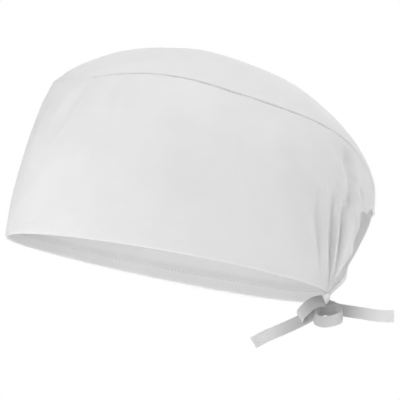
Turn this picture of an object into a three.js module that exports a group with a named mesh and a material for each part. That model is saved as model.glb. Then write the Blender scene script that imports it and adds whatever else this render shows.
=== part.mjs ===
// Medical bandana: a surgical cap of white cotton poplin, worn, with its tape tied at the nape.
// Millimetres, +Z up as worn, the forehead towards -Y, the wearer's left towards +X.
// The origin is the middle of the head opening, where the cap sits on the head.

import * as THREE from 'three';

// ---- Driving dimensions ----

const CLOTH = 1.2;              // thickness of one layer of cloth
const HEM_CLOTH = 2.1;          // thickness where the hem is turned up inside
const SEAM_GAP = 0.3;           // clearance between neighbouring pieces

const RIM_FRONT = -103;         // Y of the rim on the forehead
const RIM_BACK = 111;           // Y of the rim at the tie
const RIM_HALF_WIDTH = 81;
const RIM_SLOPE = 0.18;         // the rim rises towards the forehead
const RIM_ARCH_LEFT = 2.2;      // the left rim rides up over the ear
const RIM_SAG_RIGHT = 6.5;      // the right rim hangs lower towards the nape
const RIM_SAG_HELD = 8;         // the higher, the nearer to the tie the sag is taken up

// Sections of the left half, from the middle of the forehead round to the back opening.
// rimTurn: degrees round the rim.  belly: the point half way up the wall.  seam: its upper edge.
// crest: where the crown, between the left and the right seam, crosses the middle of the head.
const SECTION_COLUMNS = ['rimTurn', 'bellyX', 'bellyY', 'bellyZ', 'seamX', 'seamY', 'seamZ',
  'crestY', 'crestZ'];
const SECTIONS = [
  [0, 0, -90.8, 72, 0, -72, 122.4, -72, 122.4],
  [17, 30, -85, 71, 26, -63, 119.8, -57.5, 131.8],
  [35, 56, -66, 70, 48, -43, 118, -37, 139.2],
  [53, 75, -38, 68, 62, -21, 117.8, -17, 142.9],
  [71, 85, -8, 65, 69, 2, 116.4, 5, 143.4],
  [90, 88, 24, 61, 71, 28, 111.7, 31, 140.6],
  [113, 83, 58, 54, 67, 55, 103.5, 58, 132],
  [146, 69, 90, 45, 57, 82, 95.5, 86, 119.6],
  [168, 47, 114.5, 36, 42, 107, 87, 111, 99.6],
  [174, 36, 125.5, 30, 26, 126.7, 74.9, 130, 77.4],
  [177, 30, 131, 26, 16, 139.2, 54, 140.8, 54.6],
  [178.5, 25, 133, 23.4, 12, 140.2, 33, 141.4, 33],
];
const MIRRORED = ['rimTurn', 'bellyX', 'seamX'];    // these change sign across the forehead
const CROWN_ROUND = 2.2;        // how flat the crown is over its crest, 2 being a parabola

// Gathers that run up from the tie. side: 1 on the wearer's left, -1 on the right.
// low and high: place along the band at the rim and at the seam.  bend: the height within which
// the gather turns from the one to the other, 0 at rim, 1 at seam.  front and back: widths of its
// two flanks, along the band.  depth: mm, inwards if negative.  from and to: where it fades.
const FOLD_COLUMNS = ['side', 'low', 'high', 'bend', 'front', 'back', 'depth', 'from', 'to'];
const FOLDS = [
  [1, 0.697, 0.697, 1, 0.040, 0.012, -3.2, 0.06, 0.66],
  [1, 0.706, 0.706, 1, 0.011, 0.012, 1.0, 0.02, 0.68],
  [1, 0.800, 0.757, 0.12, 0.045, 0.013, -4.4, -0.10, 0.74],
  [1, 0.830, 0.771, 0.15, 0.010, 0.011, 0.8, -0.05, 0.72],
  [1, 0.990, 0.806, 0.20, 0.048, 0.045, -5.4, -0.05, 0.74],
  [1, 1.385, 0.855, 0.16, 0.014, 0.014, 1.6, 0.10, 0.92],
  [1, 0.920, 0.800, 10, 0.048, 0.032, -5.0, 0.44, 1.20],
  [1, 1.320, 0.720, 10, 0.028, 0.022, -1.8, 0.56, 0.84],
  [1, 0.950, 0.950, 1, 0.070, 0.070, 3.0, -0.02, 0.44],
  [-1, 0.690, 0.680, 1, 0.022, 0.014, -1.6, 0.05, 0.62],
  [-1, 0.800, 0.748, 0.12, 0.032, 0.016, -2.6, -0.10, 0.70],
  [-1, 0.970, 0.800, 0.20, 0.045, 0.045, -3.4, -0.05, 0.72],
  [-1, 0.980, 0.840, 0.20, 0.014, 0.014, 1.4, 0, 0.85],
  [-1, 1, 0.868, 0.20, 0.030, 0.020, -2.6, 0.30, 1.05],
  [-1, 0.965, 0.965, 1, 0.070, 0.070, 11.0, -0.06, 0.22],
  [-1, 1, 1, 1, 0.060, 0.060, 1.8, 0.04, 0.80],
];
const FOLD_ROUND = 0.15;        // how softly a fold bends, as a share of its flank
const FOLD_PINCH = 0.5;         // how much narrower a fold gets in the tight rim, as a share
const WIDE_FOLD = 0.05;         // a fold with a wider flank isn't narrowed there
const FOLD_FADE_IN = 0.2;       // a fold's fades at its lower and upper end, in height as a share
const FOLD_FADE_OUT = 0.3;
const GATHER_AT_RIM = 0.2;      // share of a fold's depth that is left in the tight rim
const GATHER_LOOSE_AT = 0.3;    // height, as a share, at which a fold has its full depth
const SEAM_HOLD_FROM = 0.86;    // from here up, the seam holds the wall smooth

// Under the crown, the corner of the band's left end is cut back in an arch.
const CORNER_CUT = 0.085;       // its depth, along the band
const CORNER_FROM = 0.8;        // place along the band from which its columns give way to it
const CORNER_RISE = [0.43, 0.54];   // heights, as a share, between which the arch opens
const CORNER_TOP = [0.565, 0.65];   // and between which it closes

// Sampling of the two panels: few columns where the cloth is smooth, many where it is gathered.
const SMOOTH_COLUMNS = 18;
const GATHERED_COLUMNS = 48;
const GATHERED_FROM = 0.645;
const BAND_ROWS = [0, 0.035, 0.07, 0.085, 0.13, 0.19, 0.27, 0.36, 0.45, 0.54, 0.595, 0.65, 0.76, 0.88, 1];
const HEM_TOP = 0.075;          // height of the hem, as a share of the wall
const SLOPE_STEP = 0.001;       // step over which a slope is measured
const CROWN_SKIPS = 4;          // the crown has one rib for this many gathered columns
const CROWN_TIP = 0.0035;       // its first rib, almost at the middle of the forehead
const CROWN_POINTS = 18;        // along each rib, from seam to seam

// The tape and its bow.
const TAPE_WIDTH = 8;
const TAPE_THICKNESS = 1;
const PINCH_LENGTH = 5;         // length over which the knot squeezes a tape narrower
const KNOT = { x: 3.5, y: 109.2, z: -23.3 };
const KNOT_RADII = { x: 4.6, y: 3.5, z: 3.9 };
const KNOT_TAPER = 0.3;         // narrower below than above, as a share
const KNOT_COLUMNS = 14;
const KNOT_ROWS = 9;
const KNOT_CREASES = 3;
const KNOT_CREASE_DEPTH = 0.12;

// Middle line of each stretch of tape, with the way that its width lies at start, middle and end.
// pinchStart and pinchEnd: the share of its width that the knot takes away there.
const TAPES = [
  {
    name: 'tie_loop_front',
    steps: 26,
    pinchStart: 0,
    pinchEnd: 0,
    path: [[6, 107.5, -24.9], [9.7, 102, -26.5], [10.2, 96.6, -30.1], [6.6, 92.6, -34],
      [2.2, 92.2, -36.2], [-0.2, 95.7, -35.4], [0.6, 99.7, -33.5], [1, 103.7, -31.6],
      [1.2, 107.8, -30]],
    width: [[0.1, 0.4, -0.9], [0.25, 0.5, -0.83], [0, 0.2, -0.95]],
  },
  {
    name: 'tie_loop_rear',
    steps: 30,
    pinchStart: 0.3,
    pinchEnd: 0.5,
    path: [[-0.1, 107, -31.3], [-0.8, 110.2, -30.9], [-2, 115, -31], [1.6, 119.3, -33.3],
      [6.2, 118.6, -36.2], [9.6, 113.2, -38.7], [10.4, 107, -39.3], [9.6, 102.6, -37.4],
      [7.2, 101.9, -34.3], [5.2, 104, -31.2], [4.4, 106.2, -28.6]],
    width: [[0, 0, 1], [0.45, 0, 0.89], [0.6, 0.3, 0.75]],
  },
  {
    name: 'tie_tail_front',
    steps: 16,
    pinchStart: 0.5,
    pinchEnd: 0,
    path: [[-0.3, 105.2, -29.8], [-1.2, 101.8, -31.9], [-2.8, 97.6, -34.3], [-2, 91, -37.8],
      [1.6, 81.4, -42.6], [5, 69.8, -47.9], [7, 61.5, -52.5]],
    width: [[0, 0.45, -0.9], [0, 0.45, -0.9], [0, 0.5, -0.87]],
  },
  {
    name: 'tie_tail_rear',
    steps: 16,
    pinchStart: 0.5,
    pinchEnd: 0,
    path: [[-1.5, 109.4, -24.6], [-4.6, 111.8, -27.7], [-6.8, 115.8, -29.5], [-7.8, 121, -30.4],
      [-8.2, 133.4, -32.4], [-7.6, 143, -34], [-6.4, 153.1, -34.5]],
    width: [[0, 0.5, 0.87], [0, 0, 1], [0, 0, 1]],
  },
];

// ---- Small helpers ----

const V = (x, y, z) => new THREE.Vector3(x, y, z);
const UP = V(0, 0, 1);
const named = (columns, row) => Object.fromEntries(columns.map((name, k) => [name, row[k]]));
const clamp01 = (t) => Math.min(Math.max(t, 0), 1);

function smoothStep(from, to, t) {
  const s = clamp01((t - from) / (to - from));
  return s * s * (3 - 2 * s);
}

// One value of a Catmull-Rom spline through b and c.
function spline(a, b, c, d, f) {
  return 0.5 * (2 * b + (c - a) * f + (2 * a - 5 * b + 4 * c - d) * f ** 2
    + (3 * b - 3 * c + d - a) * f ** 3);
}

// ---- The cap's surface ----

// Section at u, from -1 at the right end of the band through 0 at the forehead to 1 at its left end.
function sectionAt(u) {
  const last = SECTIONS.length - 1;
  const place = Math.abs(u) * last;
  const k = Math.min(Math.floor(place), last - 1);
  const rowAt = (i) => {
    if (i < 0) return SECTIONS[1].map((v, c) => (MIRRORED.includes(SECTION_COLUMNS[c]) ? -v : v));
    if (i > last) return SECTIONS[last].map((v, c) => 2 * v - SECTIONS[last - 1][c]);
    return SECTIONS[i];
  };
  const [a, b, c, d] = [k - 1, k, k + 1, k + 2].map(rowAt);
  return named(SECTION_COLUMNS, b.map((_, i) => spline(a[i], b[i], c[i], d[i], place - k)));
}

// The rim: an oval in a plane that rises to the forehead, with each side's own sag.
function rimPoint(u, rimTurn) {
  const turn = THREE.MathUtils.degToRad(rimTurn);
  const side = u < 0 ? -1 : 1;
  const middle = (RIM_BACK + RIM_FRONT) / 2;
  const y = middle - (RIM_BACK - RIM_FRONT) / 2 * Math.cos(turn);
  const arch = side > 0
    ? RIM_ARCH_LEFT * Math.sin(turn)
    : -RIM_SAG_RIGHT * Math.sin(turn / 2) ** 2 * (1 - (turn / Math.PI) ** RIM_SAG_HELD);
  return V(side * RIM_HALF_WIDTH * Math.sin(turn), y, -RIM_SLOPE * y + arch);
}

// The smooth wall, without its gathers: v runs from 0 at the rim to 1 at the seam.
function wallPoint(u, v) {
  const side = u < 0 ? -1 : 1;
  const s = sectionAt(u);
  const rim = rimPoint(u, s.rimTurn);
  const belly = V(side * s.bellyX, s.bellyY, s.bellyZ);
  const seam = V(side * s.seamX, s.seamY, s.seamZ);
  const pull = belly.multiplyScalar(2).addScaledVector(rim, -0.5).addScaledVector(seam, -0.5);
  return rim.multiplyScalar((1 - v) ** 2)
    .addScaledVector(pull, 2 * v * (1 - v))
    .addScaledVector(seam, v * v);
}

// The unit normal of a surface point(u, v), pointing out of the cap.
function outwardAt(point, u, v) {
  const near = SLOPE_STEP;
  const across = point(Math.min(u + near, 1), v).sub(point(Math.max(u - near, -1), v));
  const along = point(u, Math.min(v + near, 1)).sub(point(u, Math.max(v - near, 0)));
  return across.cross(along).normalize();
}

// 1 along a fold's line, with even flanks down to 0 a flank's width away.
function foldProfile(off) {
  const fall = 1 + FOLD_ROUND - Math.hypot(off, FOLD_ROUND);
  return (fall + Math.hypot(fall, FOLD_ROUND)) / 2;
}

// How far the gathers push the wall out at u and v.
function gatherAt(u, v) {
  const open = smoothStep(0, GATHER_LOOSE_AT, v);
  const pinch = 1 - FOLD_PINCH * (1 - open);
  let depth = 0;
  for (const row of FOLDS) {
    const fold = named(FOLD_COLUMNS, row);
    const bent = (1 - Math.exp(-v / fold.bend)) / (1 - Math.exp(-1 / fold.bend));
    const beside = fold.side * u - (fold.low + (fold.high - fold.low) * bent);
    const flank = (beside < 0 ? fold.front : fold.back) * (fold.back < WIDE_FOLD ? pinch : 1);
    const middle = (fold.from + fold.to) / 2;
    const shows = smoothStep(fold.from, Math.min(fold.from + FOLD_FADE_IN, middle), v)
      * (1 - smoothStep(Math.max(fold.to - FOLD_FADE_OUT, middle), fold.to, v));
    if (fold.side * u > 0) depth += fold.depth * foldProfile(beside / flank) * shows;
  }
  const loose = GATHER_AT_RIM + (1 - GATHER_AT_RIM) * open;
  return depth * loose * (1 - smoothStep(SEAM_HOLD_FROM, 1, v));
}

// Place along the band of its column u at height v, where the left end's corner is cut back.
function cutBack(u, v) {
  const arch = smoothStep(...CORNER_RISE, v) * (1 - smoothStep(...CORNER_TOP, v));
  return u - CORNER_CUT * arch * clamp01((u - CORNER_FROM) / (1 - CORNER_FROM));
}

// The crown: ribs from seam to seam over the crest, v from 0 at the left to 1 at the right seam.
function crownPoint(u, v) {
  const s = sectionAt(u);
  const across = 1 - 2 * v;
  const lift = 1 - Math.abs(across) ** CROWN_ROUND;
  return V(across * s.seamX, s.seamY + (s.crestY - s.seamY) * lift,
    s.seamZ + (s.crestZ - s.seamZ) * lift);
}

// From the outer to the inner side of the cloth at the seam, where both panels share one mitre.
function seamMitre(u) {
  const wall = outwardAt(wallPoint, u, 1);
  const crown = outwardAt(crownPoint, Math.max(Math.abs(u), CROWN_TIP), u < 0 ? 1 : 0);
  const mitre = crown.add(wall).normalize();
  return mitre.multiplyScalar(-CLOTH / mitre.dot(wall));
}

// ---- Closed meshes ----

function meshOf(name, points, faces, material) {
  const geometry = new THREE.BufferGeometry();
  const places = points.flatMap((point) => point.toArray());
  geometry.setAttribute('position', new THREE.Float32BufferAttribute(places, 3));
  geometry.setIndex(faces.flat());
  geometry.computeVertexNormals();
  const mesh = new THREE.Mesh(geometry, material);
  mesh.name = name;
  return mesh;
}

const quad = (a, b, c, d) => [[a, b, c], [a, c, d]];

// A wall between two grids of points, grid[column][row], closed round its four edges.
function wallMesh(name, outer, inner, material) {
  const columns = outer.length;
  const rows = outer[0].length;
  const at = (layer, i, j) => layer * columns * rows + i * rows + j;
  const faces = [];
  for (let i = 0; i < columns - 1; i += 1) {
    for (let j = 0; j < rows - 1; j += 1) {
      faces.push(...quad(at(0, i, j), at(0, i + 1, j), at(0, i + 1, j + 1), at(0, i, j + 1)));
      faces.push(...quad(at(1, i, j), at(1, i, j + 1), at(1, i + 1, j + 1), at(1, i + 1, j)));
    }
    const top = rows - 1;
    faces.push(...quad(at(1, i, 0), at(1, i + 1, 0), at(0, i + 1, 0), at(0, i, 0)));
    faces.push(...quad(at(0, i, top), at(0, i + 1, top), at(1, i + 1, top), at(1, i, top)));
  }
  const end = columns - 1;
  for (let j = 0; j < rows - 1; j += 1) {
    faces.push(...quad(at(1, 0, j), at(0, 0, j), at(0, 0, j + 1), at(1, 0, j + 1)));
    faces.push(...quad(at(0, end, j), at(1, end, j), at(1, end, j + 1), at(0, end, j + 1)));
  }
  return meshOf(name, [...outer, ...inner].flat(), faces, material);
}

// ---- The pieces ----

// Places along the left half of the seam, every one or only one in `skip` of the gathered ones.
function leftColumns(skip) {
  const columns = [];
  for (let i = 0; i < SMOOTH_COLUMNS; i += 1) columns.push(GATHERED_FROM * i / SMOOTH_COLUMNS);
  for (let i = 0; i <= GATHERED_COLUMNS; i += skip) {
    columns.push(GATHERED_FROM + (1 - GATHERED_FROM) * i / GATHERED_COLUMNS);
  }
  return columns;
}

// The side wall, with its hem turned up inside and its gathers. Its upper edge stops a gap short
// of the seam line, where the crown begins.
function sideBand(material) {
  const outer = [];
  const inner = [];
  const left = leftColumns(1);
  for (const place of [...left.slice(1).reverse().map((part) => -part), ...left]) {
    const stop = 1 - SEAM_GAP / wallPoint(place, 1).distanceTo(wallPoint(place, 0));
    const outerColumn = [];
    const innerColumn = [];
    for (const row of BAND_ROWS) {
      const v = row * stop;
      const u = cutBack(place, v);
      const outward = outwardAt(wallPoint, u, v);
      const point = wallPoint(u, v).addScaledVector(outward, gatherAt(u, v));
      const cloth = row < HEM_TOP ? HEM_CLOTH : CLOTH;
      const inward = row === 1 ? seamMitre(u) : outward.multiplyScalar(-cloth);
      outerColumn.push(point);
      innerColumn.push(point.clone().add(inward));
    }
    outer.push(outerColumn);
    inner.push(innerColumn);
  }
  return wallMesh('side_band', outer, inner, material);
}

// The crown panel, from its tip on the forehead to its lower edge over the back opening.
function crownPanel(material) {
  const outer = [];
  const inner = [];
  for (const u of [CROWN_TIP, ...leftColumns(CROWN_SKIPS).slice(1)]) {
    const outerRib = [];
    const innerRib = [];
    for (let j = 0; j <= CROWN_POINTS; j += 1) {
      const v = j / CROWN_POINTS;
      const point = crownPoint(u, v);
      const onSeam = j === 0 || j === CROWN_POINTS || u === CROWN_TIP;
      const inward = onSeam
        ? seamMitre(v > 0.5 ? -u : u)
        : outwardAt(crownPoint, u, v).multiplyScalar(-CLOTH);
      outerRib.push(point);
      innerRib.push(point.clone().add(inward));
    }
    outer.push(outerRib);
    inner.push(innerRib);
  }
  return wallMesh('crown_panel', outer, inner, material);
}

// A flat tape along its path, its width turning from its first to its last direction and squeezed
// where it enters the knot.
function tape({ name, path, width, steps, pinchStart, pinchEnd }, material) {
  const curve = new THREE.CatmullRomCurve3(path.map((p) => V(...p)), false, 'centripetal');
  const lies = new THREE.CatmullRomCurve3(width.map((w) => V(...w)));
  const length = curve.getLength();
  const points = [];
  const faces = [];
  for (let i = 0; i <= steps; i += 1) {
    const part = i / steps;
    const pinch = pinchStart * (1 - smoothStep(0, PINCH_LENGTH, length * part))
      + pinchEnd * (1 - smoothStep(0, PINCH_LENGTH, length * (1 - part)));
    const middle = curve.getPointAt(part);
    const along = curve.getTangentAt(part);
    const face = along.clone().cross(lies.getPoint(part)).normalize();
    const side = face.clone().cross(along).normalize().multiplyScalar(TAPE_WIDTH / 2 * (1 - pinch));
    const depth = face.multiplyScalar(TAPE_THICKNESS / 2);
    points.push(middle.clone().add(side).add(depth), middle.clone().sub(side).add(depth),
      middle.clone().sub(side).sub(depth), middle.clone().add(side).sub(depth));
    if (i > 0) {
      const [a, b] = [4 * (i - 1), 4 * i];
      for (let k = 0; k < 4; k += 1) {
        const next = (k + 1) % 4;
        faces.push(...quad(a + k, a + next, b + next, b + k));
      }
    }
  }
  const last = 4 * steps;
  faces.push(...quad(3, 2, 1, 0), ...quad(last, last + 1, last + 2, last + 3));
  return meshOf(name, points, faces, material);
}

// The wrap of the knot: a small barrel with the creases of its turns.
function knot(material) {
  const points = [];
  const faces = [];
  for (let j = 1; j < KNOT_ROWS; j += 1) {
    const lift = Math.PI * j / KNOT_ROWS;
    const crease = 1 - KNOT_CREASE_DEPTH * Math.cos(KNOT_CREASES * 2 * lift) ** 2;
    for (let i = 0; i < KNOT_COLUMNS; i += 1) {
      const turn = 2 * Math.PI * i / KNOT_COLUMNS;
      const taper = 1 - KNOT_TAPER + KNOT_TAPER * Math.sin(turn);
      points.push(V(KNOT.x - KNOT_RADII.x * Math.cos(lift),
        KNOT.y + KNOT_RADII.y * crease * taper * Math.sin(lift) * Math.cos(turn),
        KNOT.z + KNOT_RADII.z * crease * Math.sin(lift) * Math.sin(turn)));
    }
  }
  const at = (j, i) => j * KNOT_COLUMNS + (i % KNOT_COLUMNS);
  const first = points.push(V(KNOT.x - KNOT_RADII.x, KNOT.y, KNOT.z)) - 1;
  const last = points.push(V(KNOT.x + KNOT_RADII.x, KNOT.y, KNOT.z)) - 1;
  for (let i = 0; i < KNOT_COLUMNS; i += 1) {
    for (let j = 0; j < KNOT_ROWS - 2; j += 1) {
      faces.push(...quad(at(j, i), at(j, i + 1), at(j + 1, i + 1), at(j + 1, i)));
    }
    faces.push([at(0, i + 1), at(0, i), first], [at(KNOT_ROWS - 2, i), at(KNOT_ROWS - 2, i + 1), last]);
  }
  return meshOf('tie_knot', points, faces, material);
}

// ---- Assembly ----

const poplin = new THREE.MeshStandardMaterial({ name: 'white_poplin', color: 0xececec, roughness: 0.9,
  metalness: 0 });
const tapeCloth = new THREE.MeshStandardMaterial({ name: 'white_tape', color: 0xe4e4e4, roughness: 0.9,
  metalness: 0 });

const bandana = new THREE.Group();
bandana.name = 'medical_bandana';
bandana.add(sideBand(poplin), crownPanel(poplin), knot(tapeCloth));
for (const stretch of TAPES) bandana.add(tape(stretch, tapeCloth));

export default bandana;
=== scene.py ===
"""A white medical bandana: a surgical cap of cotton poplin, tied with tape at the nape."""

import math

import bpy
import numpy as np
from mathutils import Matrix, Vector


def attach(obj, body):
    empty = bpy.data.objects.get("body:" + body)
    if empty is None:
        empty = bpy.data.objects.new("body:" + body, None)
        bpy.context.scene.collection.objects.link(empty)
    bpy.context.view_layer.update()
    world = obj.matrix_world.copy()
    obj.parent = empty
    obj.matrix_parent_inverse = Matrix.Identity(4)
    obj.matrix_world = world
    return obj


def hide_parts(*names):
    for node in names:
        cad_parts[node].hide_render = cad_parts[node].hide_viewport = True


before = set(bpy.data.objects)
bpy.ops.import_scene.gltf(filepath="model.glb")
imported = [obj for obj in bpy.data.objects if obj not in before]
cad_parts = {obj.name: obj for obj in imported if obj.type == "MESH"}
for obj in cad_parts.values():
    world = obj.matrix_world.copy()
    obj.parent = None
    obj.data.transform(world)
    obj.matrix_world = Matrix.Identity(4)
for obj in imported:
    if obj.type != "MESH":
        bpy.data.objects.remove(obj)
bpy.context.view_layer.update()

MM = 0.001

# ---- Camera ----
# A long lens far away, low down on the wearer's left, which looks a little up into the cap.

CAMERA_TURN = math.radians(95)
CAMERA_LOOKS_UP = math.radians(7.3)
CAMERA_AWAY = 2.2
CAMERA_AIM = Vector((0, 0.026, 0.043))
CAMERA_LENS = 300

looks = Vector((
    -math.sin(CAMERA_TURN) * math.cos(CAMERA_LOOKS_UP),
    math.cos(CAMERA_TURN) * math.cos(CAMERA_LOOKS_UP),
    math.sin(CAMERA_LOOKS_UP),
))
camera = bpy.data.objects.new("camera", bpy.data.cameras.new("camera"))
bpy.context.collection.objects.link(camera)
camera.data.lens = CAMERA_LENS
camera.location = CAMERA_AIM - looks * CAMERA_AWAY
camera.rotation_mode = "QUATERNION"
camera.rotation_quaternion = looks.to_track_quat("-Z", "Y")
bpy.context.scene.camera = camera

# ---- Floor and light ----
# A matt off-white board well below the cap, in a white room. Large soft lights hang above the cap
# and stand in front of the forehead and beyond its far side, which lights the cap's inside. Two
# small ones near the board fill in the near side from below.

FLOOR_DROP = 0.34
FLOOR_HALF = 4.0
FLOOR_COLOR = "F4F4F4"
FLOOR_WASH = 0.72
ROOM_SEEN = 1.0
ROOM_LIGHT = 0.03
LIGHTS = {
    # name: place, aimed at, side of the square, watts
    "top_light": ((0.5, -0.3, 2.3), (0, 0, 0.05), 1.6, 18.5),
    "top_front_light": ((0.7, -1.5, 1.8), (0, 0, 0.05), 1.2, 12.3),
    "top_back_light": ((0.3, 1.7, 1.7), (0, 0, 0.05), 1.2, 32),
    "forehead_light": ((-0.3, -2.2, 0.8), (0, 0, 0.05), 1.4, 7.8),
    "low_front_light": ((0.7, -0.5, -0.33), (-0.05, 0, 0.02), 0.6, 4.5),
    "low_side_light": ((1.2, 0, -0.33), (-0.06, 0, 0.02), 0.6, 5.3),
    "wall_light": ((-2.0, 0.3, 0.6), (0, 0, 0.05), 1.6, 31),
}


def linear(code):
    """Turns an sRGB hex colour into the linear one that a shader takes."""
    shares = [int(code[i:i + 2], 16) / 255 for i in (0, 2, 4)]
    return (*(s / 12.92 if s <= 0.04045 else ((s + 0.055) / 1.055) ** 2.4 for s in shares), 1)


def add_node(tree, kind, inputs=None, **settings):
    """Adds a node with its settings. Each input is a value or the socket that feeds it."""
    node = tree.nodes.new(kind)
    for name, value in settings.items():
        setattr(node, name, value)
    for name, value in (inputs or {}).items():
        if isinstance(value, bpy.types.NodeSocket):
            tree.links.new(value, node.inputs[name])
        else:
            node.inputs[name].default_value = value
    return node


def new_material(name):
    """An empty material, with its tree and the output that its shader goes to."""
    material = bpy.data.materials.new(name)
    material.use_nodes = True
    material.node_tree.nodes.clear()
    return material, material.node_tree, add_node(material.node_tree, "ShaderNodeOutputMaterial")


def piece_of(name, points, faces, material, uvs=None):
    """A smooth mesh object. uvs gives each point's place on the flat cloth, in metres."""
    mesh = bpy.data.meshes.new(name)
    mesh.from_pydata(np.asarray(points).tolist(), [], [list(face) for face in faces])
    mesh.materials.append(material)
    if uvs is not None:
        layer = mesh.uv_layers.new(name="cloth")
        corners = np.empty(len(mesh.loops), dtype=np.int32)
        mesh.loops.foreach_get("vertex_index", corners)
        layer.uv.foreach_set("vector", np.asarray(uvs, dtype=np.float32)[corners].ravel())
    mesh.shade_smooth()
    piece = bpy.data.objects.new(name, mesh)
    bpy.context.collection.objects.link(piece)
    return piece


# Painted board: its roller leaves a very low, broad grain. Lamps of its own, kept off the cap,
# wash it evenly: only what is seen of the board directly shows them.
board_paint, tree, output = new_material("painted_board")
grain = add_node(tree, "ShaderNodeTexNoise", {"Scale": 60.0, "Detail": 4.0})
grain_bump = add_node(tree, "ShaderNodeBump", {"Height": grain.outputs[0], "Strength": 0.05})
seen = add_node(tree, "ShaderNodeLightPath")
wash = add_node(tree, "ShaderNodeMapRange", {
    "Value": seen.outputs["Is Camera Ray"], "To Min": 0.0, "To Max": FLOOR_WASH})
board_shader = add_node(tree, "ShaderNodeBsdfPrincipled", {
    "Base Color": linear(FLOOR_COLOR), "Roughness": 0.8, "Normal": grain_bump.outputs[0],
    "Emission Color": linear(FLOOR_COLOR), "Emission Strength": wash.outputs[0]})
tree.links.new(board_shader.outputs[0], output.inputs[0])

floor_corners = [(x * FLOOR_HALF, y * FLOOR_HALF, -FLOOR_DROP)
                 for x, y in ((-1, -1), (1, -1), (1, 1), (-1, 1))]
floor = piece_of("floor", floor_corners, [(0, 1, 2, 3)], board_paint)

room = bpy.data.worlds.new("white_room")
room.use_nodes = True
room.node_tree.nodes.clear()
ray = add_node(room.node_tree, "ShaderNodeLightPath")
level = add_node(room.node_tree, "ShaderNodeMapRange", {
    "Value": ray.outputs["Is Camera Ray"], "To Min": ROOM_LIGHT, "To Max": ROOM_SEEN})
glow = add_node(room.node_tree, "ShaderNodeBackground", {
    "Color": (1, 1, 1, 1), "Strength": level.outputs[0]})
add_node(room.node_tree, "ShaderNodeOutputWorld", {"Surface": glow.outputs[0]})
bpy.context.scene.world = room
bpy.context.scene.view_settings.view_transform = "Standard"

for name, (place, aim, side, watts) in LIGHTS.items():
    lamp = bpy.data.lights.new(name, "AREA")
    lamp.size = side
    lamp.energy = watts
    light = bpy.data.objects.new(name, lamp)
    bpy.context.collection.objects.link(light)
    light.location = place
    light.visible_camera = False
    light.rotation_mode = "QUATERNION"
    light.rotation_quaternion = (Vector(aim) - Vector(place)).to_track_quat("-Z", "Y")

# ---- Side band ----
# One strip of bleached cotton poplin round the head, from the forehead to both sides of the
# back opening. Its lower edge is turned up inside as a hem, through which the tape runs: there
# the cloth is gathered.

CLOTH = 0.9 * MM            # poplin is about 0.4 mm thick, drawn fuller so that edges show
HEM_CLOTH = 1.5 * MM        # two more layers where the hem is turned up
HEM_HEIGHT = 8 * MM
HEM_STEP = 1.5 * MM

RIM_FRONT = -103 * MM
RIM_BACK = 111 * MM
RIM_HALF_WIDTH = 81 * MM
RIM_SLOPE = 0.18
RIM_ARCH_LEFT = 2.2 * MM
RIM_SAG_RIGHT = 6.5 * MM
RIM_SAG_HELD = 8

# Sections of the left half, from the middle of the forehead round to the back opening: degrees
# round the rim, then in millimetres the belly of the wall, the seam, and the crown's crest.
SECTIONS = np.array([
    # turn, belly x, y, z, seam x, y, z, crest y, z
    (0, 0, -90.8, 72, 0, -72, 122.4, -72, 122.4),
    (17, 30, -85, 71, 26, -63, 119.8, -57.5, 131.8),
    (35, 56, -66, 70, 48, -43, 118, -37, 139.2),
    (53, 75, -38, 68, 62, -21, 117.8, -17, 142.9),
    (71, 85, -8, 65, 69, 2, 116.4, 5, 143.4),
    (90, 88, 24, 61, 71, 28, 111.7, 31, 140.6),
    (113, 83, 58, 54, 67, 55, 103.5, 58, 132),
    (146, 69, 90, 45, 57, 82, 95.5, 86, 119.6),
    (168, 47, 114.5, 36, 42, 107, 87, 111, 99.6),
    (174, 36, 125.5, 30, 26, 126.7, 74.9, 130, 77.4),
    (177, 30, 131, 26, 16, 139.2, 54, 140.8, 54.6),
    (178.5, 25, 133, 23.4, 12, 140.2, 33, 141.4, 33),
])
ACROSS = np.array((-1, -1, 1, 1, -1, 1, 1, 1, 1))   # what changes sign over the forehead
CROWN_ROUND = 2.2

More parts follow.
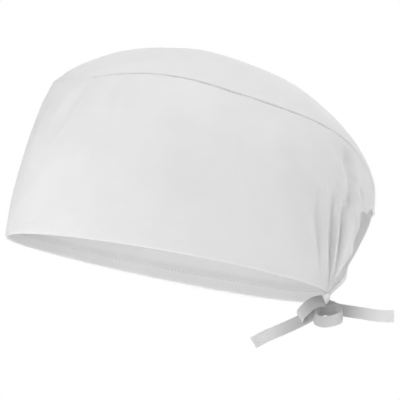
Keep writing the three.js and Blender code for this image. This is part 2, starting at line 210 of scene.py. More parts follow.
# The gathers above the tie, the swell in front of them and two puckers below the front of the
# seam. Side, place along the band at the rim and at the seam, the height within which it bends
# from the one to the other, the widths of its front and its back flank, depth in millimetres
# (inwards if negative), and the heights between which it shows.
FOLDS = (
    (1, 0.697, 0.697, 1.0, 0.034, 0.014, -4.6, 0.04, 0.68),
    (1, 0.664, 0.664, 1.0, 0.140, 0.040, 4.5, -0.20, 0.46),
    (1, 0.712, 0.712, 1.0, 0.014, 0.012, 1.5, 0.02, 0.68),
    (1, 0.800, 0.757, 0.12, 0.045, 0.013, -5.8, -0.10, 0.74),
    (1, 0.830, 0.771, 0.15, 0.010, 0.011, 0.8, -0.05, 0.72),
    (1, 0.990, 0.806, 0.20, 0.048, 0.045, -7.0, -0.05, 0.74),
    (1, 1.385, 0.855, 0.16, 0.014, 0.014, 1.6, 0.10, 0.92),
    (1, 0.920, 0.800, 10.0, 0.048, 0.032, -6.4, 0.44, 1.20),
    (1, 1.320, 0.720, 10.0, 0.028, 0.022, -1.8, 0.56, 0.84),
    (1, 0.950, 0.950, 1.0, 0.070, 0.070, 3.0, -0.02, 0.44),
    (1, 0.135, 0.186, 10.0, 0.024, 0.014, -1.9, 0.50, 1.20),
    (1, 0.310, 0.287, 10.0, 0.024, 0.014, -1.6, 0.55, 1.20),
    (-1, 0.690, 0.680, 1.0, 0.022, 0.014, -1.6, 0.05, 0.62),
    (-1, 0.800, 0.748, 0.12, 0.032, 0.016, -2.6, -0.10, 0.70),
    (-1, 0.826, 0.764, 0.15, 0.010, 0.010, 0.7, -0.05, 0.68),
    (-1, 0.970, 0.800, 0.20, 0.045, 0.045, -3.4, -0.05, 0.72),
    (-1, 0.980, 0.840, 0.20, 0.014, 0.014, 1.4, 0.00, 0.85),
    (-1, 1.000, 0.868, 0.20, 0.030, 0.020, -2.6, 0.30, 1.05),
    (-1, 0.965, 0.965, 1.0, 0.070, 0.070, 11.0, -0.06, 0.22),
    (-1, 1.000, 1.000, 1.0, 0.060, 0.060, 1.8, 0.04, 0.80),
)
FOLD_ROUND = 0.15           # how softly a fold bends, as a share of its flank
FOLD_PINCH = 0.5            # how much narrower a fold gets in the tight rim, as a share
WIDE_FOLD = 0.05            # wider ones aren't pinched there
FOLD_FADE_IN = 0.2
FOLD_FADE_OUT = 0.3
GATHER_AT_RIM = 0.2
GATHER_LOOSE_AT = 0.3
SEAM_HOLD_FROM = 0.86

# Under the crown, the corner of the left end is cut back in an arch.
CORNER_CUT = 0.085
CORNER_FROM = 0.8
CORNER_RISE = (0.43, 0.54)
CORNER_TOP = (0.565, 0.65)

SMOOTH_COLUMNS = 110        # along each half of the band, up to where its gathers begin
GATHERED_COLUMNS = 105
GATHERED_FROM = 0.645
WALL_ROWS = 52
SLOPE_STEP = 0.001
SEAM_ROLL = 1.3 * MM        # over this width the cloth's edge rolls into the seam
SEAM_DIP = 0.9 * MM
SEAM_DIP_INSIDE = 0.4       # share of the dip that the inner face follows
SEAM_CLEARANCE = 0.15 * MM  # the band ends this far below the seam's line
SEAM_TIGHT_TO = 0.14        # in front of here the seam is pulled flat, and its groove closes
SEAM_OPEN_FROM = 0.34
SEAM_TIGHT_SHARE = 0.35     # what is left of the groove there
SEAM_STRAINED = (0.7, 0.84)  # from the first to the second place the gathers pull it wider open
SEAM_STRAIN = 1.1
GAPE_SEED = 21
GAPE_WAVES = 24
GAPE_TURNS = (4, 30)        # fewest and most turns of a wave over one half of the seam
GAPE_MIDDLE = 0.75
GAPE_SWING = 0.35
GAPE_LIMITS = (0.3, 1.3)
EDGE_ROUND = ((0, 0.3), (0.1, 0.62), (0.4, 0.88), (1, 1))     # how a folded edge is rounded
SETTLE_SEED = 7
SETTLE_WAVES = 46
SETTLE_DEPTH = 0.32 * MM
SETTLE_SLANT = 0.5          # how far the waves turn away from upright, in radians
CALM_AT_RIM = 0.25          # the tape and the seam hold the cloth calm below and above these
CALM_AT_SEAM = 0.85
HEIGHT_STEPS = 60           # steps in which the wall's height is measured
FIRST_HEM_ROW = 2.2 * MM
HEM_ROWS = 6
SEAM_ROWS = np.array([1, 0.7, 0.45, 0.25, 0.1, 0])      # shares of the rolled edge's width


def smooth_step(low, high, t):
    s = np.clip((t - low) / (high - low), 0, 1)
    return s * s * (3 - 2 * s)


def catmull_rom(a, b, c, d, f):
    return 0.5 * (2 * b + (c - a) * f + (2 * a - 5 * b + 4 * c - d) * f ** 2
                  + (3 * b - 3 * c + d - a) * f ** 3)


def section_at(u):
    """Turn, side, belly, seam and crest at places u: -1 right end, 0 forehead, 1 left end."""
    rows = np.vstack([SECTIONS[1] * ACROSS, SECTIONS, 2 * SECTIONS[-1] - SECTIONS[-2]])
    last = len(SECTIONS) - 1
    place = np.abs(u) * last
    k = np.minimum(place.astype(int), last - 1)
    s = catmull_rom(*(rows[k + i] for i in range(4)), (place - k)[..., None])
    side = np.where(u < 0, -1, 1)
    belly = s[..., 1:4] * MM
    seam = s[..., 4:7] * MM
    belly[..., 0] *= side
    seam[..., 0] *= side
    return np.radians(s[..., 0]), side, belly, seam, s[..., 7:9] * MM


def rim_at(turn, side):
    y = (RIM_BACK + RIM_FRONT) / 2 - (RIM_BACK - RIM_FRONT) / 2 * np.cos(turn)
    sag = -RIM_SAG_RIGHT * np.sin(turn / 2) ** 2 * (1 - (turn / math.pi) ** RIM_SAG_HELD)
    arch = np.where(side > 0, RIM_ARCH_LEFT * np.sin(turn), sag)
    return np.stack([side * RIM_HALF_WIDTH * np.sin(turn), y, arch - RIM_SLOPE * y], -1)


def wall(u, v):
    """The smooth side wall at places u round the head and v from the rim to the seam."""
    turn, side, belly, seam, _ = section_at(u)
    rim = rim_at(turn, side)
    pull = 2 * belly - (rim + seam) / 2
    v = v[..., None]
    return rim * (1 - v) ** 2 + pull * 2 * v * (1 - v) + seam * v * v


def crown(u, v):
    """The crown at u, from its left seam at v = 0 to its right seam at v = 1."""
    _, _, _, seam, crest = section_at(np.abs(u))
    across = 1 - 2 * v
    lift = 1 - np.abs(across) ** CROWN_ROUND
    return np.stack([across * seam[..., 0],
                     seam[..., 1] + (crest[..., 0] - seam[..., 1]) * lift,
                     seam[..., 2] + (crest[..., 1] - seam[..., 2]) * lift], -1)


def unit(vectors):
    return vectors / np.linalg.norm(vectors, axis=-1, keepdims=True)


def outward(surface, u, v):
    near = SLOPE_STEP
    across = surface(np.minimum(u + near, 1), v) - surface(np.maximum(u - near, -1), v)
    along = surface(u, np.minimum(v + near, 1)) - surface(u, np.maximum(v - near, 0))
    return unit(np.cross(across, along))


def fold_profile(off):
    """1 along a fold's line, with even flanks down to 0 a flank's width away."""
    fall = 1 + FOLD_ROUND - np.sqrt(off ** 2 + FOLD_ROUND ** 2)
    return (fall + np.sqrt(fall ** 2 + FOLD_ROUND ** 2)) / 2


def gather(u, v):
    """How far the gathers above the tie push the cloth out."""
    depth = 0 * u * v
    for side, low, high, bend, front, back, deep, start, stop in FOLDS:
        bent = (1 - np.exp(-v / bend)) / (1 - math.exp(-1 / bend))
        off = side * u - (low + (high - low) * bent)
        off = off / np.where(off < 0, front, back)
        if back < WIDE_FOLD:
            off = off / (1 - FOLD_PINCH * (1 - smooth_step(0, GATHER_LOOSE_AT, v)))
        middle = (start + stop) / 2
        shows = (smooth_step(start, min(start + FOLD_FADE_IN, middle), v)
                 * (1 - smooth_step(max(stop - FOLD_FADE_OUT, middle), stop, v)))
        depth = depth + deep * fold_profile(off) * shows * (side * u > 0)
    loose = GATHER_AT_RIM + (1 - GATHER_AT_RIM) * smooth_step(0, GATHER_LOOSE_AT, v)
    return depth * loose * (1 - smooth_step(SEAM_HOLD_FROM, 1, v)) * MM


def cut_back(u, v):
    """Trims the left end of the band, where its corner under the crown is cut in an arch."""
    arch = smooth_step(*CORNER_RISE, v) * (1 - smooth_step(*CORNER_TOP, v))
    return u - CORNER_CUT * arch * np.clip((u - CORNER_FROM) / (1 - CORNER_FROM), 0, 1)


def settle(along, up, seed, longest=90 * MM, shortest=22 * MM, stretch=2.2):
    """The slight unevenness of worn cloth: many faint waves, longer upwards than along."""
    draw = np.random.default_rng(seed)
    total = 0 * along * up
    for _ in range(SETTLE_WAVES):
        wave = shortest * (longest / shortest) ** draw.random()
        heading = draw.normal(0, SETTLE_SLANT)
        phase = draw.random() * 2 * math.pi
        total = total + np.sin(
            2 * math.pi / wave * (along * math.cos(heading)
                                  + up / stretch * math.sin(heading)) + phase)
    return total / math.sqrt(SETTLE_WAVES / 2)


def seam_gape(u):
    """How far the seam's groove gapes at places u: it opens and closes every few centimetres."""
    draw = np.random.default_rng(GAPE_SEED)
    fewest, most = GAPE_TURNS
    waves = 0 * u
    for _ in range(GAPE_WAVES):
        turns = fewest + (most - fewest) * draw.random()
        waves = waves + np.sin(2 * math.pi * (turns * u + draw.random()))
    gape = np.clip(GAPE_MIDDLE + GAPE_SWING * waves / math.sqrt(GAPE_WAVES / 2), *GAPE_LIMITS)
    opened = smooth_step(SEAM_TIGHT_TO, SEAM_OPEN_FROM, np.abs(u))
    tight = SEAM_TIGHT_SHARE + (1 - SEAM_TIGHT_SHARE) * opened
    return gape * tight * (1 + SEAM_STRAIN * smooth_step(*SEAM_STRAINED, np.abs(u)))


def half_places():
    """Places along one half of the seam, closer together where the cloth is gathered."""
    smooth = np.linspace(0, GATHERED_FROM, SMOOTH_COLUMNS, endpoint=False)
    return np.append(smooth, np.linspace(GATHERED_FROM, 1, GATHERED_COLUMNS + 1))


def closed_cloth(name, outer, inner, material, uvs):
    """Cloth with its two sides, outer and inner[column, row], closed round its four edges."""
    columns, rows = outer.shape[:2]
    place = np.arange(columns * rows).reshape(columns, rows)
    back = place + columns * rows
    quads = [
        (place[:-1, :-1], place[1:, :-1], place[1:, 1:], place[:-1, 1:]),
        (back[:-1, :-1], back[:-1, 1:], back[1:, 1:], back[1:, :-1]),
        (back[:-1, 0], back[1:, 0], place[1:, 0], place[:-1, 0]),
        (place[:-1, -1], place[1:, -1], back[1:, -1], back[:-1, -1]),
        (back[0, :-1], place[0, :-1], place[0, 1:], back[0, 1:]),
        (place[-1, :-1], back[-1, :-1], back[-1, 1:], place[-1, 1:]),
    ]
    faces = np.vstack([np.stack(corners, -1).reshape(-1, 4) for corners in quads])
    points = np.vstack([outer.reshape(-1, 3), inner.reshape(-1, 3)])
    uvs = uvs.reshape(-1, 2)
    return piece_of(name, points, faces, material, np.vstack([uvs, uvs]))


# Bleached cotton poplin: plain woven, fine and matt, with a soft white sheen at grazing angles.
# Its threads lie about 0.25 mm apart; they are drawn 0.8 mm apart, or they wouldn't show.
POPLIN_COLOR = "E9E9E9"
POPLIN_SHADE = "E4E4E4"
THREAD_PITCH = 0.8 * MM
THREAD_RELIEF = 0.06 * MM
POPLIN_GLOW = 0.3
WAVE_PERIOD = 0.314         # the distance between a wave texture's bands at a scale of 1
SLUB_SCALE = 420.0          # thicker bits of thread, 2 to 3 mm long
MOTTLE_SCALE = 34.0         # faint clouds, about 3 cm wide
WEAVE_IN_TINT = 0.12        # share of the weave in the colour, beside the clouds


def woven_cotton(name, light, shade, pitch_along, pitch_up, relief, glow):
    """Plain woven cotton: threads both ways over the cloth's own map, with slubs and mottling.

    glow is the share of light that goes into the cloth. Returns its tint and shader too."""
    material, tree, output = new_material(name)
    flat = add_node(tree, "ShaderNodeUVMap", uv_map="cloth")
    threads = []
    for direction, pitch in (("X", pitch_along), ("Y", pitch_up)):
        threads.append(add_node(tree, "ShaderNodeTexWave", {
            "Vector": flat.outputs[0], "Scale": WAVE_PERIOD / pitch, "Distortion": 0.6,
            "Detail": 1.0, "Detail Scale": 2.0}, bands_direction=direction))
    weave = add_node(tree, "ShaderNodeMath", {
        0: threads[0].outputs["Fac"], 1: threads[1].outputs["Fac"]}, operation="ADD")
    slub = add_node(tree, "ShaderNodeTexNoise", {
        "Vector": flat.outputs[0], "Scale": SLUB_SCALE, "Detail": 3.0})
    relief_height = add_node(tree, "ShaderNodeMath", {
        0: weave.outputs[0], 1: slub.outputs[0]}, operation="ADD")
    bump = add_node(tree, "ShaderNodeBump", {
        "Height": relief_height.outputs[0], "Strength": 0.35, "Distance": relief})
    mottle = add_node(tree, "ShaderNodeTexNoise", {
        "Vector": flat.outputs[0], "Scale": MOTTLE_SCALE, "Detail": 3.0})
    mixed = add_node(tree, "ShaderNodeMath", {
        0: weave.outputs[0], 1: WEAVE_IN_TINT, 2: mottle.outputs[0]}, operation="MULTIPLY_ADD")
    tint = add_node(tree, "ShaderNodeValToRGB", {"Fac": mixed.outputs[0]})
    tint.color_ramp.elements[0].position = 0.3
    tint.color_ramp.elements[0].color = linear(shade)
    tint.color_ramp.elements[1].position = 0.8
    tint.color_ramp.elements[1].color = linear(light)
    shader = add_node(tree, "ShaderNodeBsdfPrincipled", {
        "Base Color": tint.outputs[0], "Roughness": 0.9, "Specular IOR Level": 0.25,
        "Sheen Weight": 0.25, "Sheen Roughness": 0.5, "Normal": bump.outputs[0],
        "Subsurface Weight": glow, "Subsurface Radius": (1, 1, 1), "Subsurface Scale": 0.001})
    tree.links.new(shader.outputs[0], output.inputs[0])
    return material, tint, shader


poplin, _, _ = woven_cotton("cotton_poplin_plain_woven", POPLIN_COLOR, POPLIN_SHADE,
                            THREAD_PITCH, THREAD_PITCH, THREAD_RELIEF, POPLIN_GLOW)

half = half_places()
column_u = np.concatenate([-half[:0:-1], half])[:, None]
climb = wall(column_u, np.linspace(0, 1, HEIGHT_STEPS)[None])
band_height = np.linalg.norm(np.diff(climb, axis=1), axis=-1).sum(1)

# Rows by their height above the rim: the rounded fold, the hem, the wall and the rolled edge.
fold_rows = [share * HEM_CLOTH / 2 for share, _ in EDGE_ROUND]
hem_rows = list(np.linspace(FIRST_HEM_ROW, HEM_HEIGHT, HEM_ROWS)) + [HEM_HEIGHT + HEM_STEP]
from_rim = np.array(fold_rows + hem_rows)
to_seam = SEAM_ROWS * SEAM_ROLL
share = np.linspace(0, 1, WALL_ROWS)[1:-1]
band_v = np.stack([np.concatenate([
    from_rim,
    from_rim[-1] + (height - from_rim[-1] - to_seam[0]) * share,
    height - to_seam - SEAM_CLEARANCE]) / height for height in band_height])
above_rim = band_v * band_height[:, None]

band_run = wall(column_u, np.full(column_u.shape, 0.5))[:, 0]
along = np.concatenate([[0], np.cumsum(np.linalg.norm(np.diff(band_run, axis=0), axis=-1))])
band_uv = np.stack([along[:, None] + 0 * band_v, above_rim], -1)

band_u = cut_back(column_u, band_v)
rounded = np.interp(above_rim, fold_rows, [roundness for _, roundness in EDGE_ROUND])
past_hem = smooth_step(HEM_HEIGHT, HEM_HEIGHT + HEM_STEP, above_rim)
thick = CLOTH + (HEM_CLOTH - CLOTH) * (1 - past_hem)
calm = smooth_step(0, CALM_AT_RIM, band_v) * (1 - smooth_step(CALM_AT_SEAM, 1, band_v))
push = gather(band_u, band_v) + SETTLE_DEPTH * calm * settle(along[:, None], above_rim, SETTLE_SEED)
below_seam = band_height[:, None] - above_rim
rolled = np.clip(1 - below_seam / SEAM_ROLL, 0, 1) ** 2 * seam_gape(column_u)
out = outward(wall, band_u, band_v)
smooth_wall = wall(band_u, band_v)
band_outer = smooth_wall + out * (push - thick / 2 * (1 - rounded) - SEAM_DIP * rolled)[..., None]
band_inner = smooth_wall + out * (
    push - thick / 2 * (1 + rounded) - SEAM_DIP_INSIDE * SEAM_DIP * rolled)[..., None]
side_band = closed_cloth("side_band_cloth", band_outer, band_inner, poplin, band_uv)
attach(side_band, "root")
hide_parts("side_band")

# ---- Crown panel ----
# A long strip of the same poplin from the forehead over the head and down to the back opening,
# sewn to the band along both its sides. Its lower end has a narrow hem.

CROWN_TIP = 0.0035
CROWN_RIBS = 76
CROWN_HEM = 6 * MM
CROWN_HEM_STEP = 2 * MM
CROWN_CALM = 12 * MM        # as far as this from a seam, the cloth is pulled calm
CROWN_SEED = 12

crown_u = np.concatenate([[CROWN_TIP], half[1:]])[:, None]
rib_v = np.linspace(0, 1, CROWN_RIBS) + 0 * crown_u
crown_smooth = crown(crown_u, rib_v)
crest_steps = np.linalg.norm(np.diff(crown_smooth[:, CROWN_RIBS // 2], axis=0), axis=-1)
crown_length = np.concatenate([[0], np.cumsum(crest_steps)])
rib_steps = np.linalg.norm(np.diff(crown_smooth, axis=1), axis=-1)
rib_run = np.concatenate([np.zeros((len(crown_u), 1)), np.cumsum(rib_steps, axis=1)], axis=1)
rib_length = rib_run[:, -1:]
to_edge = np.minimum(rib_run, rib_length - rib_run)
crown_uv = np.stack([rib_run - rib_length / 2, crown_length[:, None] + 0 * rib_run], -1)
to_end = crown_length[-1] - crown_length[:, None]

crown_side = np.where(rib_v < 0.5, 1, -1)
crown_rolled = np.clip(1 - to_edge / SEAM_ROLL, 0, 1) ** 2 * seam_gape(crown_side * crown_u)
past_crown_hem = smooth_step(CROWN_HEM, CROWN_HEM + CROWN_HEM_STEP, to_end)
crown_thick = CLOTH + (HEM_CLOTH - CLOTH) * (1 - past_crown_hem)
crown_calm = smooth_step(0, CROWN_CALM, to_edge)
crown_push = SETTLE_DEPTH * crown_calm * settle(crown_uv[..., 0], crown_uv[..., 1], CROWN_SEED)
crown_out = outward(crown, crown_u, rib_v)
crown_outer = crown_smooth + crown_out * (crown_push - SEAM_DIP * crown_rolled)[..., None]
crown_inner = crown_smooth + crown_out * (
    crown_push - crown_thick - SEAM_DIP_INSIDE * SEAM_DIP * crown_rolled)[..., None]
crown_panel = closed_cloth("crown_panel_cloth", crown_outer, crown_inner, poplin, crown_uv)
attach(crown_panel, "root")
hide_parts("crown_panel")

# ---- Stitching ----
# White polyester-cotton thread, sewn by a lockstitch machine: one row in the seam on each side,
# and one round the top of the hem, which shows on both faces of the cloth.

STITCH_LENGTH = 1.9 * MM
STITCH_PITCH = 2.6 * MM
THREAD_THICK = 0.42 * MM
HEM_STITCH_HEIGHT = 6.6 * MM
STITCH_SINK = 0.10 * MM     # a stitch is pulled this far into the cloth, at its middle
STITCH_PROUD = 0.02 * MM    # on the outer face, its crest stands this far out
STITCH_UNEVEN = 0.25
# Painted shade: the thread is drawn light grey, and darker grey between its plies.
THREAD_PAINTED_SHADE_GREY = "D6D6D6"
THREAD_PLY_PAINTED_SHADE = "B4B4B4"
THREAD_TWIST = 0.5 * MM
THREAD_GROOVE = 0.05 * MM
SEAM_STITCH_DEPTH = 0.45 * MM
STITCH_SEED = 5

# Twisted sewing thread: two plies wound round each other, so a fine slanting stripe, darker between
# the plies as painted shade. The white thread is drawn light grey as painted shade, so stitches
# read darker.
thread, tree, output = new_material("sewing_thread_two_ply")
place_on = add_node(tree, "ShaderNodeTexCoord")
plies = add_node(tree, "ShaderNodeTexWave", {
    "Vector": place_on.outputs["Object"], "Scale": WAVE_PERIOD / THREAD_TWIST, "Distortion": 1.0},
    bands_direction="DIAGONAL")
ply_painted_shade = add_node(tree, "ShaderNodeValToRGB", {"Fac": plies.outputs["Fac"]})
ply_painted_shade.color_ramp.elements[0].color = linear(THREAD_PLY_PAINTED_SHADE)
ply_painted_shade.color_ramp.elements[1].color = linear(THREAD_PAINTED_SHADE_GREY)
ply_bump = add_node(tree, "ShaderNodeBump", {
    "Height": plies.outputs["Fac"], "Strength": 0.5, "Distance": THREAD_GROOVE})
thread_shader = add_node(tree, "ShaderNodeBsdfPrincipled", {
    "Base Color": ply_painted_shade.outputs[0], "Roughness": 0.7, "Sheen Weight": 0.2,
    "Normal": ply_bump.outputs[0]})
tree.links.new(thread_shader.outputs[0], output.inputs[0])

# The stitches: a short rounded bead of thread at every pitch of a sewn line, along the line.
stitching = bpy.data.node_groups.new("stitch_row", "GeometryNodeTree")
sockets = {}
for name, kind in (("Sewn line", "NodeSocketGeometry"), ("Stitch length", "NodeSocketFloat"),
                   ("Stitch pitch", "NodeSocketFloat"), ("Thread thickness", "NodeSocketFloat"),
                   ("Unevenness", "NodeSocketFloat"), ("Seed", "NodeSocketInt"),
                   ("Thread", "NodeSocketMaterial")):
    sockets[name] = stitching.interface.new_socket(name, in_out="INPUT", socket_type=kind)
stitching.interface.new_socket("Stitches", in_out="OUTPUT", socket_type="NodeSocketGeometry")
given = add_node(stitching, "NodeGroupInput").outputs
sewn = add_node(stitching, "GeometryNodeMeshToCurve", {"Mesh": given["Sewn line"]})
spots = add_node(stitching, "GeometryNodeCurveToPoints", {
    "Curve": sewn.outputs[0], "Length": given["Stitch pitch"]}, mode="LENGTH")
bead = add_node(stitching, "GeometryNodeMeshUVSphere", {"Segments": 6, "Rings": 4, "Radius": 0.5})
bead_size = add_node(stitching, "ShaderNodeCombineXYZ", {
    "X": given["Thread thickness"], "Y": given["Thread thickness"], "Z": given["Stitch length"]})
shortest = add_node(stitching, "ShaderNodeMath", {
    0: 1.0, 1: given["Unevenness"]}, operation="SUBTRACT")
uneven = add_node(stitching, "FunctionNodeRandomValue", {
    "Min": shortest.outputs[0], "Max": 1.0, "Seed": given["Seed"]}, data_type="FLOAT")
uneven_size = add_node(stitching, "ShaderNodeVectorMath", {
    0: bead_size.outputs[0], "Scale": uneven.outputs["Value"]}, operation="SCALE")
beads = add_node(stitching, "GeometryNodeInstanceOnPoints", {
    "Points": spots.outputs["Points"], "Instance": bead.outputs["Mesh"],
    "Rotation": spots.outputs["Rotation"], "Scale": uneven_size.outputs[0]})
real = add_node(stitching, "GeometryNodeRealizeInstances", {"Geometry": beads.outputs[0]})
of_thread = add_node(stitching, "GeometryNodeSetMaterial", {
    "Geometry": real.outputs[0], "Material": given["Thread"]})
add_node(stitching, "NodeGroupOutput", {"Stitches": of_thread.outputs[0]})


def stitch_row(name, lines, seed):
    """Stitches along sewn lines, each an array of points, as one plain mesh."""
    starts = np.cumsum([0] + [len(line) for line in lines])
    edges = [(k, k + 1) for a, b in zip(starts, starts[1:]) for k in range(a, b - 1)]
    guide = bpy.data.meshes.new(name + "_line")
    guide.from_pydata(np.vstack(lines).tolist(), np.array(edges).tolist(), [])
    sewing = bpy.data.objects.new(name + "_line", guide)
    bpy.context.collection.objects.link(sewing)
    modifier = sewing.modifiers.new("stitch_row", "NODES")
    modifier.node_group = stitching
    for socket, value in (("Stitch length", STITCH_LENGTH), ("Stitch pitch", STITCH_PITCH),
                          ("Thread thickness", THREAD_THICK), ("Unevenness", STITCH_UNEVEN),
                          ("Seed", seed), ("Thread", thread)):
        modifier[sockets[socket].identifier] = value
    evaluated = sewing.evaluated_get(bpy.context.evaluated_depsgraph_get())
    mesh = bpy.data.meshes.new_from_object(evaluated)
    mesh.name = name
    bpy.data.objects.remove(sewing)
    piece = bpy.data.objects.new(name, mesh)
    bpy.context.collection.objects.link(piece)
    mesh.shade_smooth()
    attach(piece, "root")


hem_v = (HEM_STITCH_HEIGHT / band_height)[:, None]
hem_u = cut_back(column_u, hem_v)
hem_middle = wall(hem_u, hem_v)[:, 0]
hem_out = outward(wall, hem_u, hem_v)[:, 0]
hem_push = gather(hem_u, hem_v)[:, 0, None]
proud = THREAD_THICK / 2 - STITCH_SINK
stitch_row("hem_stitches", [
    hem_middle + hem_out * (hem_push - HEM_CLOTH - proud),
    hem_middle + hem_out * (hem_push - THREAD_THICK / 2 + STITCH_PROUD)], STITCH_SEED)

seam_v = np.ones(column_u.shape)
seam_line = wall(column_u, seam_v)[:, 0]
seam_out = outward(wall, column_u, seam_v)[:, 0]
seam_line = seam_line - seam_out * SEAM_STITCH_DEPTH
stitch_row("seam_stitches", [seam_line], STITCH_SEED + 1)

# ---- Tape bow ----
# Narrow woven cotton tape that runs in the hem and comes out at its two ends, tied there in a
# bow: two loops, two free tails and the knot that holds them.

TAPE_WIDTH = 8 * MM
TAPE_CLOTH = 0.7 * MM
TAPE_STEP = 0.45 * MM
TAPE_ACROSS = 13
FINE_STEPS = 60             # steps for each point of a path, to measure how long it is
PINCH_LENGTH = 5 * MM
BUNCH_DEPTH = 0.9 * MM      # how deep the tape folds up where it is squeezed
BUNCH_TURNS = 2.5 * math.pi
EDGE_SHARPNESS = 6          # the higher, the flatter the tape up to its rounded edges
EDGE_LEAST = 0.12
TAPES = {
    # name: share squeezed at its start and end, its middle line, and how its width lies
    "tie_loop_front": (
        0, 0,
        [(6, 107.5, -24.9), (9.7, 102, -26.5), (10.2, 96.6, -30.1), (6.6, 92.6, -34),
         (2.2, 92.2, -36.2), (-0.2, 95.7, -35.4), (0.6, 99.7, -33.5), (1, 103.7, -31.6),
         (1.2, 107.8, -30)],
        [(0.1, 0.4, -0.9), (0.25, 0.5, -0.83), (0, 0.2, -0.95)]),
    "tie_loop_rear": (
        0.3, 0.5,
        [(-0.1, 107, -31.3), (-0.8, 110.2, -30.9), (-2, 115, -31), (1.6, 119.3, -33.3),
         (6.2, 118.6, -36.2), (9.6, 113.2, -38.7), (10.4, 107, -39.3), (9.6, 102.6, -37.4),
         (7.2, 101.9, -34.3), (5.2, 104, -31.2), (4.4, 106.2, -28.6)],
        [(0, 0, 1), (0.45, 0, 0.89), (0.6, 0.3, 0.75)]),
    "tie_tail_front": (
        0.5, 0,
        [(-0.3, 105.2, -29.8), (-1.2, 101.8, -31.9), (-2.8, 97.6, -34.3), (-2, 91, -37.8),
         (1.6, 81.4, -42.6), (5, 69.8, -47.9), (7, 61.5, -52.5)],
        [(0, 0.45, -0.9), (0, 0.45, -0.9), (0, 0.5, -0.87)]),
    "tie_tail_rear": (
        0.5, 0,
        [(-1.5, 109.4, -24.6), (-4.6, 111.8, -27.7), (-6.8, 115.8, -29.5), (-7.8, 121, -30.4),
         (-8.2, 133.4, -32.4), (-7.6, 143, -34), (-6.4, 153.1, -34.5)],
        [(0, 0.5, 0.87), (0, 0, 1), (0, 0, 1)]),
}


def path_points(points, share):
    """Points of a centripetal spline, at shares of its count of stretches."""
    points = np.vstack([2 * points[0] - points[1], points, 2 * points[-1] - points[-2]])
    place = np.asarray(share) * (len(points) - 3)
    k = np.minimum(place.astype(int), len(points) - 4)
    a, b, c, d = (points[k + i] for i in range(4))
    ab, bc, cd = (np.maximum(np.linalg.norm(q - p, axis=-1, keepdims=True), 1e-8) ** 0.5
                  for p, q in ((a, b), (b, c), (c, d)))
    leave = ((b - a) / ab - (c - a) / (ab + bc) + (c - b) / bc) * bc
    arrive = ((c - b) / bc - (d - b) / (bc + cd) + (d - c) / cd) * bc
    f = (place - k)[:, None]
    return (b + leave * f + (-3 * b + 3 * c - 2 * leave - arrive) * f ** 2
            + (2 * b - 2 * c + leave + arrive) * f ** 3)


def even_path(points, step):
    """The spline's points at even steps, and how far along each is."""
    fine = path_points(points, np.linspace(0, 1, FINE_STEPS * len(points)))
    run = np.concatenate([[0], np.cumsum(np.linalg.norm(np.diff(fine, axis=0), axis=-1))])
    even = np.linspace(0, run[-1], int(run[-1] / step))
    return np.stack([np.interp(even, run, fine[:, i]) for i in range(3)], -1), even


# Bleached cotton tape, a little coarser than the poplin. Near the knot its colour is darkened to
# grey as painted shade, fading out along the tape; its loose ends keep the tape's white.
TAPE_COLOR = "EFEFEF"
TAPE_SHADE = "E8E8E8"
TAPE_PAINTED_SHADE = "B0B0B0"
PAINTED_SHADE_LENGTH = 42 * MM
TAPE_PITCH_ALONG = 0.7 * MM
TAPE_PITCH_ACROSS = 0.9 * MM
TAPE_RELIEF = 0.12 * MM
TAPE_GLOW = 0.1

tape_cotton, tape_tint, tape_shader = woven_cotton(
    "cotton_tape_woven", TAPE_COLOR, TAPE_SHADE, TAPE_PITCH_ALONG, TAPE_PITCH_ACROSS,
    TAPE_RELIEF, TAPE_GLOW)
tree = tape_cotton.node_tree
# Painted shade: over its first few centimetres from the knot, the tape's colour turns grey.
tape_map = add_node(tree, "ShaderNodeUVMap", uv_map="cloth")
from_knot = add_node(tree, "ShaderNodeSeparateXYZ", {0: tape_map.outputs[0]})
unshaded_share = add_node(tree, "ShaderNodeMapRange", {
    "Value": from_knot.outputs["X"], "From Max": PAINTED_SHADE_LENGTH}, interpolation_type="SMOOTHSTEP")
painted_shade_mix = add_node(tree, "ShaderNodeMix", {
    "Factor": unshaded_share.outputs[0], 6: linear(TAPE_PAINTED_SHADE), 7: tape_tint.outputs[0]},
    data_type="RGBA")
tree.links.new(painted_shade_mix.outputs[2], tape_shader.inputs["Base Color"])


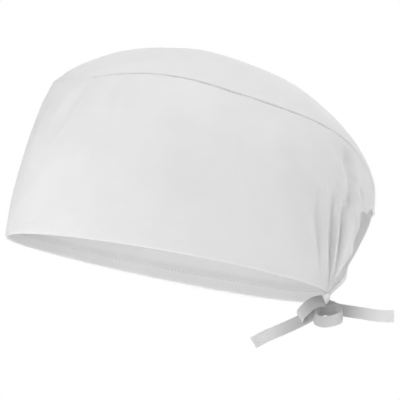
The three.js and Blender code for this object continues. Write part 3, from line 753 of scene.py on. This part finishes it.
def tape(name, start_pinch, end_pinch, path, widths):
    """One flat stretch of tape with soft edges, bunched where the knot squeezes it."""
    middle, run = even_path(np.array(path) * MM, TAPE_STEP)
    ahead = unit(np.gradient(middle, axis=0))
    lies = path_points(np.array(widths, float), run / run[-1])
    face = unit(np.cross(ahead, lies))
    side = unit(np.cross(face, ahead))
    pinch = (start_pinch * (1 - smooth_step(0, PINCH_LENGTH, run))
             + end_pinch * (1 - smooth_step(0, PINCH_LENGTH, run[-1] - run)))
    across = np.cos(np.linspace(0, math.pi, TAPE_ACROSS))
    soft = np.sqrt(np.clip(1 - np.abs(across) ** EDGE_SHARPNESS, EDGE_LEAST, 1))
    bunch = BUNCH_DEPTH * pinch[:, None] * np.sin(across * BUNCH_TURNS)
    middle = middle[:, None] + side[:, None] * (
        across[:, None] * (TAPE_WIDTH / 2 * (1 - pinch))[:, None, None])
    lift = (TAPE_CLOTH / 2 * soft)[None] + 0 * bunch
    outer = middle + face[:, None] * (bunch + lift)[..., None]
    inner = middle + face[:, None] * (bunch - lift)[..., None]
    # How far along the tape from the knot: the painted shade near the knot fades over this.
    away = run if "tail" in name else np.minimum(run, run[-1] - run)
    uvs = np.stack([away[:, None] + 0 * bunch, across * TAPE_WIDTH / 2 + 0 * bunch], -1)
    piece = closed_cloth(name + "_cloth", outer, inner, tape_cotton, uvs)
    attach(piece, "root")
    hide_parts(name)


for name, values in TAPES.items():
    tape(name, *values)

# ---- Knot ----
# The turns of the tape, pulled tight round each other below the ends of the hem. Their map starts
# past the tape's painted shade, so they keep its plain white.

KNOT_AT = np.array((3.5, 109.2, -23.3)) * MM
KNOT_RADII = np.array((4.6, 3.5, 3.9)) * MM
KNOT_TAPER = 0.3
KNOT_TURNS = 72
KNOT_RINGS = 48
KNOT_POLE = 0.06            # radians left open round its two ends, which a small face closes
KNOT_CREASES = 3
KNOT_CREASE_DEPTH = 0.14
KNOT_CREASE_SLANT = 0.35
KNOT_CREASE_TIGHT = 6       # the higher, the narrower a crease

lift = np.linspace(KNOT_POLE, math.pi - KNOT_POLE, KNOT_RINGS)[:, None]
turn = np.linspace(0, 2 * math.pi, KNOT_TURNS, endpoint=False)[None]
winding = np.abs(np.cos(KNOT_CREASES * lift + KNOT_CREASE_SLANT * np.sin(turn)))
crease = 1 - KNOT_CREASE_DEPTH * winding ** KNOT_CREASE_TIGHT
taper = 1 - KNOT_TAPER + KNOT_TAPER * np.sin(turn)
knot_points = KNOT_AT + np.stack([
    -KNOT_RADII[0] * np.cos(lift) + 0 * turn,
    KNOT_RADII[1] * crease * taper * np.sin(lift) * np.cos(turn),
    KNOT_RADII[2] * crease * np.sin(lift) * np.sin(turn)], -1)
place = np.arange(KNOT_RINGS * KNOT_TURNS).reshape(KNOT_RINGS, KNOT_TURNS)
beside = np.roll(place, -1, axis=1)
knot_faces = np.stack([place[:-1], beside[:-1], beside[1:], place[1:]], -1).reshape(-1, 4)
knot_faces = knot_faces.tolist() + [place[0, ::-1].tolist(), place[-1].tolist()]
# The map starts where the tape's painted shade has faded out.
knot_uv = np.stack([PAINTED_SHADE_LENGTH + 0 * turn + lift * KNOT_RADII[0],
                    turn * KNOT_RADII[2] + 0 * lift], -1)
knot = piece_of("tie_knot_cloth", knot_points.reshape(-1, 3), knot_faces, tape_cotton,
                knot_uv.reshape(-1, 2))
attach(knot, "root")
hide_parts("tie_knot")
